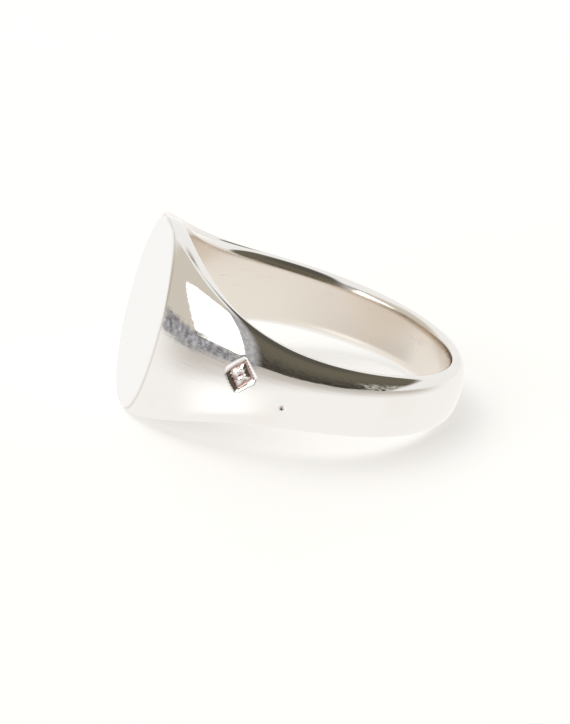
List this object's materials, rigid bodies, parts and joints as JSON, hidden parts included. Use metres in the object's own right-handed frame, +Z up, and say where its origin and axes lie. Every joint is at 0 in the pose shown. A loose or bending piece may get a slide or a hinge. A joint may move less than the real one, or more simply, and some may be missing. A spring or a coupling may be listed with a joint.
{
  "type": "signet ring",
  "caption": "Plain silver signet ring with a flat oval seal table, tapering shoulders and a D-section band.",
  "frame": {"origin": "on the surface that the ring lies on, under the middle of its bounding box", "axes": "+Z up as the ring lies on its side, head and seal table towards -X, the shoulder with the punched mark towards -Y"},
  "size_m": [0.0224, 0.0224, 0.0123],
  "materials": {
    "polished_silver": "mirror-polished sterling silver with fine wear scratches",
    "table_silver": "flat-lapped and buffed sterling silver, slightly softer than the shoulders",
    "silver_solder": "hard silver solder, polished flush"
  },
  "bodies": {
    "root": {"signet_table": "table_silver", "table_solder": "silver_solder", "head_block": "polished_silver", "shoulder_solder_near": "silver_solder", "shoulder_solder_far": "silver_solder", "shoulder_near": "polished_silver", "shoulder_far": "polished_silver", "shank_solder_near": "silver_solder", "shank_solder_far": "silver_solder", "shank": "polished_silver"}
  },
  "joints": []
}
